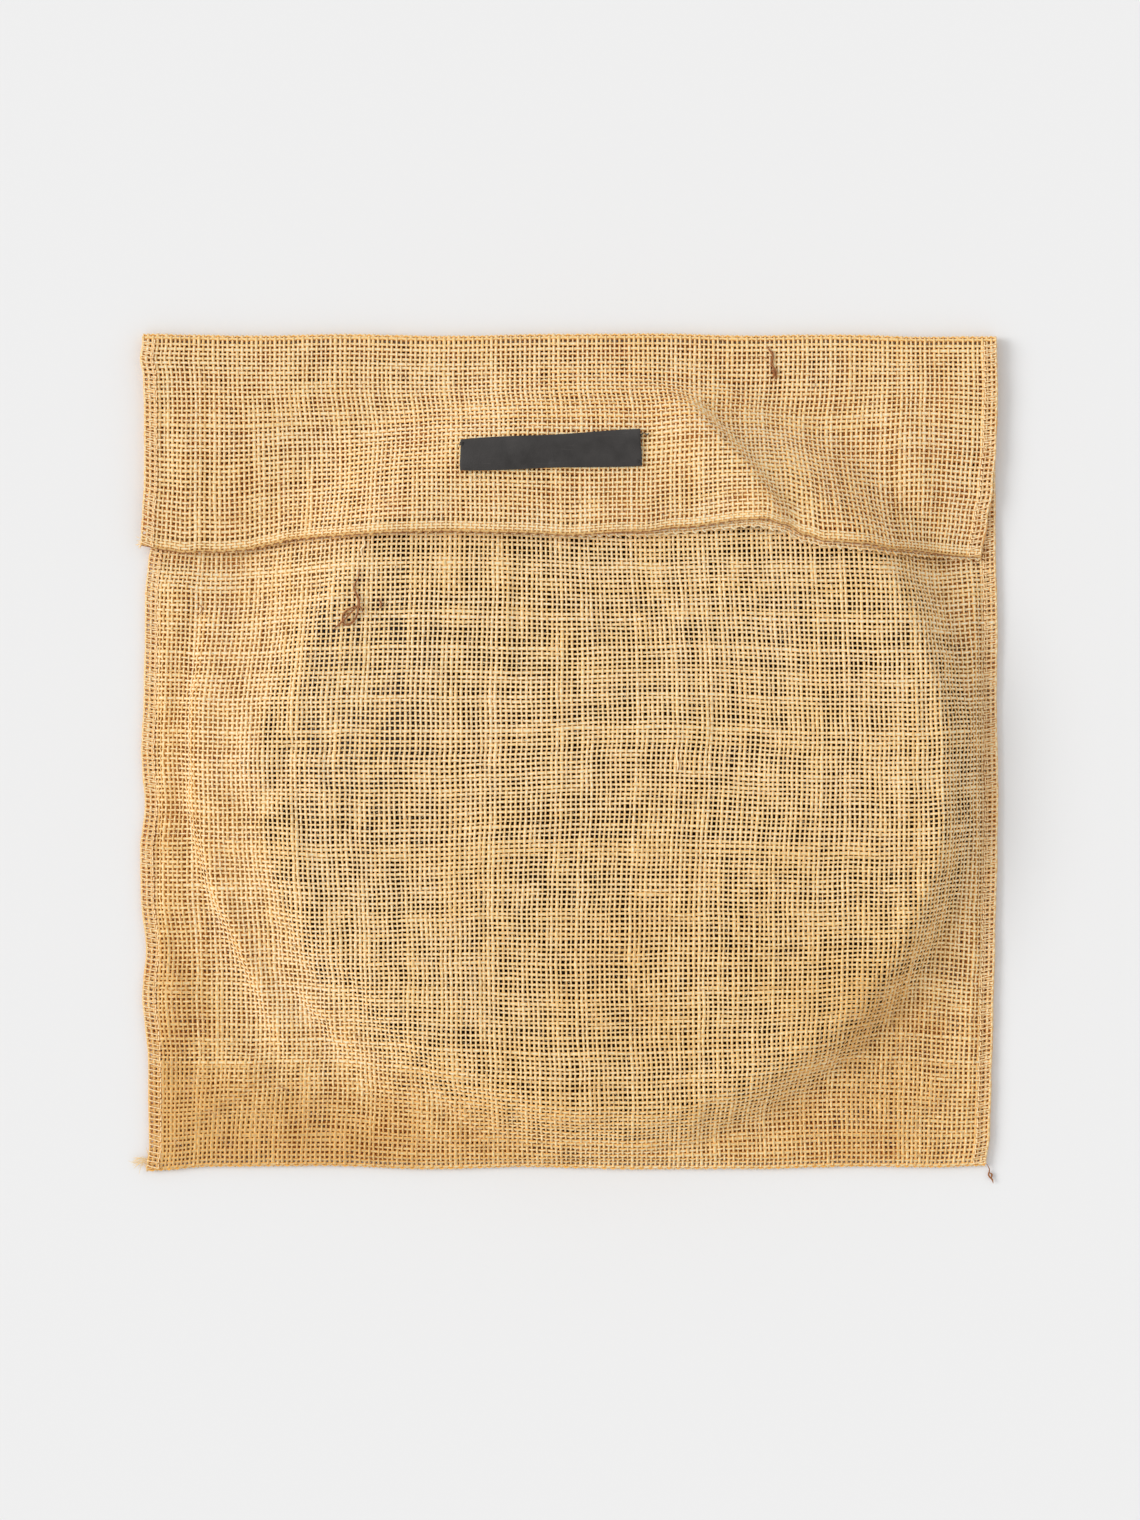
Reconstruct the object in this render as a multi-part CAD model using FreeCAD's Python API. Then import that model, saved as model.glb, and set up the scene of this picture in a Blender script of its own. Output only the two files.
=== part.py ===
import FreeCAD, Part
import math
import os

# A flat-lying hessian sack with its mouth end folded forward over the front as a flap,
# and a shallow round dish inside it. X runs across the sack, Y from the bottom fold to
# the top fold, Z up from the floor. Everything is in millimetres.

# Driving dimensions of the sack
outline_width = 414.0  # over the overlocked side edges
outline_height = 403.2  # bottom fold to top fold
cloth = 1.2  # one layer of hessian
layer_step = 1.6  # one layer to the next where they lie flat on each other
seam_width = 5.5  # seam allowance, from the stitch line to the cut edge
overlock_bead = 1.0  # thread that wraps the cut edge
stitch_thread = 0.5
stitch_inset = 1.0  # outside the stitch line
stitch_end_gap = 1.0  # where the body's row of stitches goes under the mouth
selvedge_width = 4.0  # close-woven band along the mouth
selvedge_extra = 0.3  # how much thicker that band is than the cloth
flap_length = 100.0  # top fold to mouth
mouth_gap = 5.6  # between the flap's two layers at the middle of the mouth
mouth_gap_side = 0.25  # share of the half width over which that gap closes at a seam
mouth_gap_depth = 0.5  # share of the flap's length over which it closes towards the fold

# The dish, upside down in the sack
dish_radius = 173.0
dish_x = 23.5
dish_y = -15.0
dish_floor_gap = 0.3
dish_wall = 4.0
dish_height = 23.5
dish_lip = 1.0
dish_travel = 10.0  # how far it can shift towards the top fold
shoulder_radius = 150.0  # where the dish's flat back turns down into its side
shoulder_round = 16.0
dish_foot_inset = 2.0  # from the lip's edge to the foot of the side
foot_wall = 1.3  # the wall at the side's foot, in wall thicknesses
shoulder_wall = 0.4  # how far the hollow's shoulder is inside the outer one, likewise
crown = 2.0  # rise of the dish's back and of the cloth over it

# The cloth tent over the dish
cloth_over_dish = 24.5  # underside of the front panel above the dish's shoulder
tight_reach = 10.0  # how far past the rim the cloth comes down on the tight side
loose_reach = 37.0  # and on the loose side
loose_heading = math.radians(160.0)

# The label
label_length = 86.0
label_width = 17.0
label_thickness = 1.4
label_x = -8.7
label_y = 142.5
label_turn = math.radians(3.0)
tack_thread = 0.9
tack_length = 4.0
tack_inset = 2.0  # from the label's edges to where a tack goes in
label_steps = 6

# Loose yarns
yarn = 1.4
knot_x = -105.0
knot_y = 62.0
knot_size = 2.2  # the knot's width in yarn widths
knot_lead = (4.0, 22.0, 0.5)  # the yarn that runs up from the knot
slub_x = 97.0
slub_y = 189.0
slub_run = (3.0, -11.0)
tail_run = (2.5, -7.5)
tail_inset = 2.0  # from the cut edge to where the tail leaves the bottom fold
tuft_run = (-6.0, -1.0)
tuft_rise = 2.0  # above the bottom fold
mouth_tuft_run = (-2.5, -2.0)
mouth_tuft_rise = 1.5

# Worked out from the above
edge_x = outline_width / 2
cut_x = edge_x - overlock_bead
seam_x = cut_x - seam_width
flap_thickness = 3 * layer_step + cloth
hinge_z = flap_thickness / 2
hinge_y = outline_height / 2 - hinge_z
mouth_y = outline_height / 2 - flap_length
bottom_fold_z = (layer_step + cloth) / 2
bottom_fold_y = -outline_height / 2 + bottom_fold_z

cloth_steps = 80  # spans in a panel's smooth surface, each way
flap_steps = 20
band_steps = 3
hair = 0.1  # keeps pieces that lie on the cloth off its surface


def smooth(u):
    u = min(max(u, 0.0), 1.0)
    return u * u * (3.0 - 2.0 * u)


def offset_from_dish(x, y):
    """From the nearest place the dish's centre can be to this point."""
    return x - dish_x, y - min(max(y, dish_y), dish_y + dish_travel)


def tent_foot(dx, dy):
    """Distance from the dish's centre at which the cloth comes down to the margin."""
    heading = math.atan2(dy, dx)
    looseness = (1.0 + math.cos(heading - loose_heading)) / 2.0
    foot = dish_radius + tight_reach + (loose_reach - tight_reach) * looseness
    to_side = seam_x - dish_x if dx > 0 else seam_x + dish_x
    to_end = hinge_y - dish_y - dish_travel if dy > 0 else dish_y - bottom_fold_y
    if abs(math.cos(heading)) > 1e-6:
        foot = min(foot, to_side / abs(math.cos(heading)))
    if abs(math.sin(heading)) > 1e-6:
        foot = min(foot, to_end / abs(math.sin(heading)))
    return foot


def tent(x, y):
    """Height of the front panel above the margin level."""
    dx, dy = offset_from_dish(x, y)
    distance = math.hypot(dx, dy)
    full = cloth_over_dish - layer_step
    if distance <= shoulder_radius:
        return full + crown * (1.0 - (distance / shoulder_radius) ** 2)
    foot = tent_foot(dx, dy)
    return full * smooth((foot - distance) / (foot - shoulder_radius))


def mouth_lens(x, y):
    """Gap between the flap's layers: none at the seams and the fold, widest at the mouth."""
    across = smooth((1.0 - abs(x) / seam_x) / mouth_gap_side)
    along = smooth((hinge_y - y) / (mouth_gap_depth * flap_length))
    return (mouth_gap + cloth - layer_step) * across * along


def front_level(x, y):
    return layer_step + tent(x, y)


def inner_level(x, y):
    return 2 * layer_step + tent(x, y)


def outer_level(x, y):
    return 3 * layer_step + tent(x, y) + mouth_lens(x, y)


def control_points(points):
    """Control points of a clamped cubic with even spans that passes through these points."""
    first, second, third = points[0], points[1], points[2]
    last, before, earlier = points[-1], points[-2], points[-3]
    inner = []
    for i in range(1, len(points) - 1):
        inner.append(points[i] * (4 / 3) - (points[i - 1] + points[i + 1]) * (1 / 6))
    start = first + (second * 4 - first * 3 - third) * (1 / 6)
    end = last + (before * 4 - last * 3 - earlier) * (1 / 6)
    return [first, start] + inner + [end, last]


def draped(x_range, y_range, steps, level, thickness, turn=0.0, centre=(0.0, 0.0)):
    """A layer of cloth whose underside is at level(x, y), over a grid that may be turned."""
    c, s = math.cos(turn), math.sin(turn)
    rows = []
    for i in range(steps[0] + 1):
        u = x_range[0] + (x_range[1] - x_range[0]) * i / steps[0]
        row = []
        for j in range(steps[1] + 1):
            v = y_range[0] + (y_range[1] - y_range[0]) * j / steps[1]
            x, y = centre[0] + u * c - v * s, centre[1] + u * s + v * c
            row.append(FreeCAD.Vector(x, y, level(x, y)))
        rows.append(control_points(row))
    columns = [control_points(list(column)) for column in zip(*rows)]
    poles = [list(row) for row in zip(*columns)]
    repeats = [[4] + [1] * (n - 1) + [4] for n in steps]
    knots = [[float(i) for i in range(n + 1)] for n in steps]
    surface = Part.BSplineSurface()
    surface.buildFromPolesMultsKnots(poles, *repeats, *knots, False, False, 3, 3)
    return surface.toShape().extrude(FreeCAD.Vector(0, 0, thickness))


def block(x0, x1, y0, y1, z0, z1):
    return Part.makeBox(x1 - x0, y1 - y0, z1 - z0, FreeCAD.Vector(x0, y0, z0))


def half_ring(inner, outer, y, z, towards):
    """Cloth turning back on itself about a line along X, on the side that towards points."""
    low_in = FreeCAD.Vector(-cut_x, y, z - inner)
    low_out = FreeCAD.Vector(-cut_x, y, z - outer)
    high_in = FreeCAD.Vector(-cut_x, y, z + inner)
    high_out = FreeCAD.Vector(-cut_x, y, z + outer)
    round_out = Part.Arc(low_out, FreeCAD.Vector(-cut_x, y + towards * outer, z), high_out)
    round_in = Part.Arc(high_in, FreeCAD.Vector(-cut_x, y + towards * inner, z), low_in)
    edges = [
        round_out.toShape(),
        Part.makeLine(high_out, high_in),
        round_in.toShape(),
        Part.makeLine(low_in, low_out),
    ]
    face = Part.Face(Part.Wire(edges))
    return face.extrude(FreeCAD.Vector(2 * cut_x, 0, 0))


def bead(side, y0, y1, z0, z1):
    """The overlock thread round a cut edge: a strip with a rounded outer face."""
    x = side * cut_x
    low, high = FreeCAD.Vector(x, y0, z0), FreeCAD.Vector(x, y0, z1)
    crest = FreeCAD.Vector(side * edge_x, y0, (z0 + z1) / 2)
    rim = Part.Arc(low, crest, high).toShape()
    face = Part.Face(Part.Wire([rim, Part.makeLine(high, low)]))
    return face.extrude(FreeCAD.Vector(0, y1 - y0, 0))


def stitching(side, y0, y1, z):
    x = side * (seam_x + stitch_inset)
    half = stitch_thread / 2
    return block(x - half, x + half, y0, y1, z, z + stitch_thread)


def rod(start, end, radius):
    along = end - start
    return Part.makeCylinder(radius, along.Length, start, along)


def panels():
    across = (-seam_x, seam_x)
    body = (bottom_fold_y, hinge_y)
    flap = (mouth_y + selvedge_width, hinge_y)
    return {
        "back_panel": block(-seam_x, seam_x, bottom_fold_y, hinge_y, 0.0, cloth),
        "front_panel": draped(across, body, (cloth_steps, cloth_steps), front_level, cloth),
        "flap_inner": draped(across, flap, (cloth_steps, flap_steps), inner_level, cloth),
        "flap_outer": draped(across, flap, (cloth_steps, flap_steps), outer_level, cloth),
    }


def selvedges():
    across = (-seam_x, seam_x)
    band = (mouth_y, mouth_y + selvedge_width)
    steps = (cloth_steps, band_steps)
    thickness = cloth + selvedge_extra
    return {
        "inner_selvedge": draped(across, band, steps, inner_level, thickness),
        "outer_selvedge": draped(across, band, steps, outer_level, thickness),
    }


def folds():
    return {
        "bottom_fold": half_ring(
            bottom_fold_z - cloth, bottom_fold_z, bottom_fold_y, bottom_fold_z, -1
        ),
        "fold_inner": half_ring(
            hinge_z - layer_step - cloth, hinge_z - layer_step, hinge_y, hinge_z, 1
        ),
        "fold_outer": half_ring(hinge_z - cloth, hinge_z, hinge_y, hinge_z, 1),
    }


def seams():
    pieces = {}
    body_top = layer_step + cloth
    flap_low = 2 * layer_step
    for name, side in (("left", -1), ("right", 1)):
        low_x, high_x = sorted((side * seam_x, side * cut_x))
        pieces[f"{name}_seam"] = block(low_x, high_x, bottom_fold_y, hinge_y, 0.0, body_top)
        pieces[f"{name}_overlock"] = bead(side, bottom_fold_y, hinge_y, 0.0, body_top)
        row_end = mouth_y - stitch_end_gap
        pieces[f"{name}_stitching"] = stitching(side, bottom_fold_y, row_end, body_top)
        pieces[f"flap_{name}_seam"] = block(
            low_x, high_x, mouth_y, hinge_y, flap_low, flap_thickness
        )
        pieces[f"flap_{name}_overlock"] = bead(side, mouth_y, hinge_y, flap_low, flap_thickness)
        pieces[f"flap_{name}_stitching"] = stitching(side, mouth_y, hinge_y, flap_thickness)
    return pieces


def label():
    top = cloth + hair
    half_length, half_width = label_length / 2, label_width / 2
    place = (label_x, label_y)
    plate = draped(
        (-half_length, half_length),
        (-half_width, half_width),
        (label_steps, label_steps),
        lambda x, y: outer_level(x, y) + top,
        label_thickness,
        label_turn,
        place,
    )
    tacks = []
    c, s = math.cos(label_turn), math.sin(label_turn)
    for end in (-1, 1):
        for side in (-1, 1):
            u, v = end * (half_length - tack_inset), side * (half_width - tack_inset)
            x = label_x + u * c - v * s
            y = label_y + u * s + v * c
            z = outer_level(x, y) + top + label_thickness + hair + tack_thread / 2
            start = FreeCAD.Vector(x, y, z)
            reach = FreeCAD.Vector(end * tack_length * c, end * tack_length * s, 0)
            tacks.append(rod(start, start + reach, tack_thread / 2))
    return {"label": plate, "label_tacks": Part.makeCompound(tacks)}


def loose_yarns():
    radius = yarn / 2
    knot_radius = knot_size * radius
    knot_z = front_level(knot_x, knot_y) + cloth + knot_radius + hair
    knot_centre = FreeCAD.Vector(knot_x, knot_y, knot_z)
    knot = Part.makeSphere(knot_radius, knot_centre)
    lead = rod(knot_centre, knot_centre + FreeCAD.Vector(*knot_lead), radius)
    slub_end_x, slub_end_y = slub_x + slub_run[0], slub_y + slub_run[1]
    slub_start = FreeCAD.Vector(slub_x, slub_y, outer_level(slub_x, slub_y) + cloth + yarn)
    slub_end_z = outer_level(slub_x, slub_end_y) + cloth + yarn
    slub_end = FreeCAD.Vector(slub_end_x, slub_end_y, slub_end_z)
    tail = FreeCAD.Vector(cut_x - tail_inset, -outline_height / 2 - radius, radius)
    tuft = FreeCAD.Vector(-edge_x - hair, bottom_fold_y + tuft_rise, radius)
    corner = FreeCAD.Vector(-edge_x - radius, mouth_y + mouth_tuft_rise, hinge_z + layer_step)
    return {
        "knotted_yarn": knot.fuse(lead),
        "flap_yarn_end": rod(slub_start, slub_end, radius),
        "corner_thread_tail": rod(tail, tail + FreeCAD.Vector(*tail_run, 0), radius),
        "corner_tuft": rod(tuft, tuft + FreeCAD.Vector(*tuft_run, 0), radius),
        "mouth_corner_tuft": rod(corner, corner + FreeCAD.Vector(*mouth_tuft_run, 0), radius),
    }


def arc_corner(before, corner, after, radius):
    """Tangent points and middle of a fillet at a corner of a profile."""
    into = (before - corner).normalize()
    out = (after - corner).normalize()
    half = math.acos(max(-1.0, min(1.0, into.dot(out)))) / 2
    cut = radius / math.tan(half)
    centre = corner + (into + out).normalize() * (radius / math.sin(half))
    middle = centre + (corner - centre).normalize() * radius
    return corner + into * cut, middle, corner + out * cut


def dish():
    """An upturned shallow dish: flat crowned back, sloping side, small lip on the floor."""
    floor = cloth + dish_floor_gap
    top = floor + dish_height - crown

    def at(r, z):
        return FreeCAD.Vector(r, 0, z)

    inner_top = top - dish_wall
    lip_top = floor + dish_lip
    slope_foot = dish_radius - dish_foot_inset
    inner_foot = slope_foot - dish_wall * foot_wall
    inner_shoulder = shoulder_radius - dish_wall * shoulder_wall
    out_a, out_m, out_b = arc_corner(
        at(slope_foot, lip_top), at(shoulder_radius, top), at(0, top + crown), shoulder_round
    )
    in_a, in_m, in_b = arc_corner(
        at(0, inner_top + crown),
        at(inner_shoulder, inner_top),
        at(inner_foot, floor),
        shoulder_round - dish_wall,
    )
    edges = [
        Part.makeLine(at(dish_radius, floor), at(dish_radius, lip_top)),
        Part.makeLine(at(dish_radius, lip_top), at(slope_foot, lip_top)),
        Part.makeLine(at(slope_foot, lip_top), out_a),
        Part.Arc(out_a, out_m, out_b).toShape(),
        Part.makeLine(out_b, at(0, top + crown)),
        Part.makeLine(at(0, top + crown), at(0, inner_top + crown)),
        Part.makeLine(at(0, inner_top + crown), in_a),
        Part.Arc(in_a, in_m, in_b).toShape(),
        Part.makeLine(in_b, at(inner_foot, floor)),
        Part.makeLine(at(inner_foot, floor), at(dish_radius, floor)),
    ]
    section = Part.Face(Part.Wire(edges))
    turned = section.revolve(FreeCAD.Vector(0, 0, 0), FreeCAD.Vector(0, 0, 1), 360)
    return {"dish": turned.translated(FreeCAD.Vector(dish_x, dish_y, 0))}


os.makedirs("parts", exist_ok=True)
for group in (panels(), selvedges(), folds(), seams(), label(), loose_yarns(), dish()):
    for node, shape in group.items():
        shape.exportStep(f"parts/{node}.step")
        print(f"{node}: {len(shape.Solids)} solid, valid {shape.isValid()}, {shape.Volume:.0f} mm3")
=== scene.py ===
import math
import bpy
import numpy as np
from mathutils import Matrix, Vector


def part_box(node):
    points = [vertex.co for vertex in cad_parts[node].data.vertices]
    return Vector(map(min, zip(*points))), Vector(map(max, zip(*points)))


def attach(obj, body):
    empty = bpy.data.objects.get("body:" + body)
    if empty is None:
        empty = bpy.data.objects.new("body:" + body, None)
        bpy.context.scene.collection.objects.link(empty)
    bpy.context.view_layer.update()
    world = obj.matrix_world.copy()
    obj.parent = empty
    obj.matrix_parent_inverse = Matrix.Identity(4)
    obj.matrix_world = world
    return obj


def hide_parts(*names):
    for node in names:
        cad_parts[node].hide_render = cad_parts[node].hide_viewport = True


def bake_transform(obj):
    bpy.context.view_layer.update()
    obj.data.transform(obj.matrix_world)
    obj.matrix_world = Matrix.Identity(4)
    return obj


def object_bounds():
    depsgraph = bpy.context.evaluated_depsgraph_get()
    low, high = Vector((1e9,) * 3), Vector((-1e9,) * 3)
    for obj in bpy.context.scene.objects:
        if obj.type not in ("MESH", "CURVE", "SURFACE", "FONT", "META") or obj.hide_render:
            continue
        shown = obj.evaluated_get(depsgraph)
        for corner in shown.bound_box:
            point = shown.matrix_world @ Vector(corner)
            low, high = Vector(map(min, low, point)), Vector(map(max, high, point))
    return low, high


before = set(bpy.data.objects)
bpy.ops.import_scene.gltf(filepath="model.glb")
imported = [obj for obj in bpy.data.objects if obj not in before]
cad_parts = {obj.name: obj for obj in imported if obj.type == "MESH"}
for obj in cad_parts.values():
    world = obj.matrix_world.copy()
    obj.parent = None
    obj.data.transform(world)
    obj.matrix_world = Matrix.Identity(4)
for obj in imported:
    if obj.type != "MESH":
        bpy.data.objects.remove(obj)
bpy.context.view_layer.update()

mm = 0.001
dice = np.random.default_rng(41)


def corners(node):
    low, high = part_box(node)
    return np.array(low), np.array(high)


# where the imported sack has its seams, folds, mouth and dish
backLow, backHigh = corners("back_panel")
foldLow, foldHigh = corners("fold_outer")
dishLow, dishHigh = corners("dish")
seamX = backHigh[0]
cutX = corners("right_seam")[1][0]
topY = backHigh[1]
bottomY = backLow[1]
hingeZ = (foldLow[2] + foldHigh[2]) / 2
mouthY = corners("outer_selvedge")[0][1]
dishX, dishY = (dishLow[:2] + dishHigh[:2]) / 2
dishRadius = (dishHigh[0] - dishLow[0]) / 2

# one layer of hessian: yarn pitch, how the layers lie on each other, and how the yarns vary
weave = dict(pitch=2.27 * mm, mouthPitch=1.35 * mm, mouthBand=4 * mm, spacingJitter=0.12, slopeShare=0.85,
             layerStep=1.6 * mm, halfCloth=0.6 * mm, foldStart=2.1 * mm, yarnWidth=1.35 * mm,
             innerWidth=1.65 * mm, yarnThickness=0.82 * mm, crimp=0.42 * mm, unevenness=0.36, sizeSpread=0.15,
             toneSpread=0.30, wander=0.12 * mm, wanderPitch=6, visibleSides=6, hiddenSides=4,
             underFlap=14 * mm, outerLoops=0.22, innerLoops=0.4)

# the front panel over the dish: level on its back, down to the margin further out on the slack side
drape = dict(shoulder=153 * mm, overDish=24.5 * mm, crown=2.0 * mm, travel=10 * mm,
             tightReach=10 * mm, looseReach=37 * mm, looseHeading=math.radians(160))

# folds in the cloth: points along the crest, height, half width to its right and to its left, all in mm
bodyRidges = [
    ([(-168, 92), (-173, 64), (-179, 25), (-180, -24), (-171, -62), (-154, -101), (-129, -160)],
     7.5, 4.5, 22.0),
    ([(-150, 70), (-152, 0), (-140, -60), (-116, -112)], 3.0, 9.0, 12.0),
    ([(-140, -88), (-122, -120), (-98, -152), (-60, -176)], 3.4, 6.0, 14.0),
    ([(-197, -60), (-186, -88), (-170, -104)], 1.6, 6.0, 6.0),
    ([(-196, -186), (-168, -166), (-144, -150)], 2.4, 5.0, 9.0),
    ([(-120, -186), (-86, -180), (-50, -184)], 1.6, 6.0, 6.0),
    ([(188, 84), (194, 40), (191, -20)], 2.2, 5.0, 5.0),
    ([(190, -80), (176, -116), (152, -148), (118, -172)], 2.0, 9.0, 3.5),
    ([(120, -186), (160, -178), (190, -150)], 1.3, 6.0, 6.0),
]
flapRidges = [
    ([(30, 181), (46, 172), (57, 164), (74, 146), (87, 131), (98, 115), (104, 100)], 7.2, 17.0, 5.0),
    ([(-150, 186), (-110, 160), (-96, 122)], 1.6, 9.0, 14.0),
    ([(-196, 178), (-188, 150), (-184, 118)], 1.4, 6.0, 10.0),
    ([(150, 186), (166, 150), (172, 104)], 2.0, 14.0, 7.0),
]

# how far the cloth's edges wander from straight, in mm: (place along the edge, outward or upward shift)
edges = dict(
    bodyLeft=[(-202, -1.5), (-190, -3.0), (-150, -2.6), (-118, 0.2), (-96, -1.6), (-70, 0.9), (-48, 1.2),
              (-26, -1.0), (0, 0.7), (26, -0.4), (56, -1.0), (77, -1.2), (90, -2.4), (101, -4.0), (150, -1.0),
              (196, 0.0)],
    bodyRight=[(-202, -5.0), (-186, -3.2), (-160, -2.4), (-130, -1.6), (-91, -0.6), (-50, 0.4), (-23, 0.9),
               (25, 0.1), (60, 0.6), (101, -0.4), (150, -0.6), (196, 0.0)],
    flapLeft=[(90, 1.4), (102, 0.8), (117, 0.0), (131, -1.0), (164, -1.0), (180, -0.5), (190, 1.0),
              (196, 0.0)],
    flapRight=[(90, -9.2), (96, -8.6), (104, -7.2), (117, -4.6), (131, -2.0), (150, -0.3), (175, 0.4),
               (196, 0.0)],
    top=[(-207, 0.6), (-150, -0.3), (-110, 0.5), (-60, -0.4), (-10, 0.5), (40, 0.8), (85, -0.2), (130, 0.3),
         (170, -0.7), (207, -0.6)],
    bottom=[(-207, 1.6), (-170, -0.6), (-120, -1.0), (-70, 0.6), (-20, -0.4), (30, 0.7), (90, 0.5),
            (140, -0.6), (180, -0.2), (207, -1.0)],
    outerMouth=[(-207, -1.2), (-195, -3.1), (-185, -4.1), (-179, -3.1), (-168, -3.6), (-157, -3.1),
                (-148, -1.6), (-135, 0.3), (-116, 0.8), (-63, 2.2), (-5, 2.2), (34, 5.2), (54, 7.4),
                (84, 10.2), (94, 10.2), (103, 7.5), (114, 2.4), (123, -0.7), (141, -1.6), (158, -4.1),
                (207, -7.2)],
    innerMouth=[(-207, -0.6), (-185, -3.2), (-157, -2.4), (-135, 0.8), (-63, 2.6), (-5, 2.0), (34, 3.6),
                (54, 4.8), (76, 6.6), (89, 7.2), (101, 5.0), (114, -0.6), (123, -3.0), (141, -4.4),
                (158, -6.0), (173, -7.0), (207, -8.2)],
    sideReach=46, endReach=60,
)


def smooth(u):
    u = np.clip(u, 0.0, 1.0)
    return u * u * (3.0 - 2.0 * u)


def eased(points, value):
    # a curve through the points, in mm, level at each of them
    xs = np.array([p[0] for p in points], float)
    ys = np.array([p[1] for p in points], float)
    at = np.clip(np.asarray(value) / mm, xs[0], xs[-1])
    index = np.clip(np.searchsorted(xs, at) - 1, 0, len(xs) - 2)
    share = smooth((at - xs[index]) / (xs[index + 1] - xs[index]))
    return (ys[index] + (ys[index + 1] - ys[index]) * share) * mm


def ripple(x, y, waves):
    # a sum of slow waves: each is its length across and along in mm, its phase and its height in mm
    total = np.zeros(np.broadcast(x, y).shape)
    for across, along, phase, height in waves:
        total = total + height * mm * np.sin(2 * math.pi * (x / (across * mm) + y / (along * mm)) + phase)
    return total


def ridgeHeight(x, y, ridges):
    total = np.zeros(np.broadcast(x, y).shape)
    for points, height, rightWidth, leftWidth in ridges:
        nearest = np.full(total.shape, 1e9)
        along, width = np.zeros(total.shape), np.ones(total.shape)
        for index in range(len(points) - 1):
            ax, ay = np.array(points[index]) * mm
            bx, by = np.array(points[index + 1]) * mm
            dx, dy = bx - ax, by - ay
            t = np.clip(((x - ax) * dx + (y - ay) * dy) / (dx * dx + dy * dy), 0, 1)
            away = np.hypot(x - ax - t * dx, y - ay - t * dy)
            leftOf = smooth(0.5 + (dx * (y - ay) - dy * (x - ax)) / math.hypot(dx, dy) / (2 * mm))
            along = np.where(away < nearest, (index + t) / (len(points) - 1), along)
            width = np.where(away < nearest, rightWidth + (leftWidth - rightWidth) * leftOf, width)
            nearest = np.minimum(nearest, away)
        taper = smooth(along / 0.42) * smooth((1.06 - along) / 0.3)
        total = total + height * mm * taper * np.exp(-((nearest / (width * mm)) ** 2))
    return total


def tent(x, y):
    # height of the front panel above the margin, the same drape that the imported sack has
    dx, dy = x - dishX, y - np.clip(y, dishY, dishY + drape["travel"])
    distance, heading = np.hypot(dx, dy), np.arctan2(dy, dx)
    slack = (1 + np.cos(heading - drape["looseHeading"])) / 2
    foot = dishRadius + drape["tightReach"] + (drape["looseReach"] - drape["tightReach"]) * slack
    toSide = np.where(dx > 0, seamX - dishX, seamX + dishX)
    toEnd = np.where(dy > 0, topY - dishY - drape["travel"], dishY - bottomY)
    foot = np.minimum(foot, toSide / np.maximum(np.abs(np.cos(heading)), 1e-6))
    foot = np.minimum(foot, toEnd / np.maximum(np.abs(np.sin(heading)), 1e-6))
    full = drape["overDish"] - weave["layerStep"]
    slope = full * smooth((foot - distance) / (foot - drape["shoulder"]))
    back = full + drape["crown"] * (1 - (distance / drape["shoulder"]) ** 2)
    return np.where(distance <= drape["shoulder"], back, slope)


slowWaves = [(190, 260, 0.4, 0.5), (-120, 150, 1.9, 0.4), (70, -210, 3.1, 0.3), (48, 61, 0.9, 0.16)]


# the front panel is let down onto the dish once, a little slack, and keeps the folds it finds
settle = dict(spacing=5.0 * mm, frames=24, slack=-0.007, mostMove=4.5 * mm, aboveDish=1.0 * mm,
              heldUnderFlap=6 * mm, clearance=0.5 * mm, bedShare=1.1,
              dishProfile=[(0, 25.0), (140, 23.3), (152, 22.6), (162, 15.0), (171, 3.0), (176, 1.3),
                           (400, 1.3)],
              cloth=dict(quality=8, mass=0.0004, tension_stiffness=12, compression_stiffness=12,
                         shear_stiffness=3, bending_stiffness=0.06, air_damping=4))
settled = {}


def dishTop(x, y):
    # highest surface the dish reaches anywhere along its travel, with the back panel round it
    radii, heights = np.array(settle["dishProfile"]).T * mm
    away = np.hypot(x - dishX, y - np.clip(y, dishY, dishY + drape["travel"]))
    return np.interp(away, radii, heights)


def linked(name, data):
    obj = bpy.data.objects.new(name, data)
    bpy.context.scene.collection.objects.link(obj)
    return obj


def stacked(x, y, z):
    return np.stack(np.broadcast_arrays(x, y, z), axis=-1)


def gridMesh(name, x, y, z):
    columns, rows = z.shape
    index = np.arange(columns * rows).reshape(columns, rows)
    faces = np.stack([index[:-1, :-1], index[1:, :-1], index[1:, 1:], index[:-1, 1:]], axis=-1).reshape(-1, 4)
    mesh = bpy.data.meshes.new(name)
    mesh.from_pydata(stacked(x, y, z).reshape(-1, 3).tolist(), [], faces.tolist())
    return linked(name, mesh)


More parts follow.
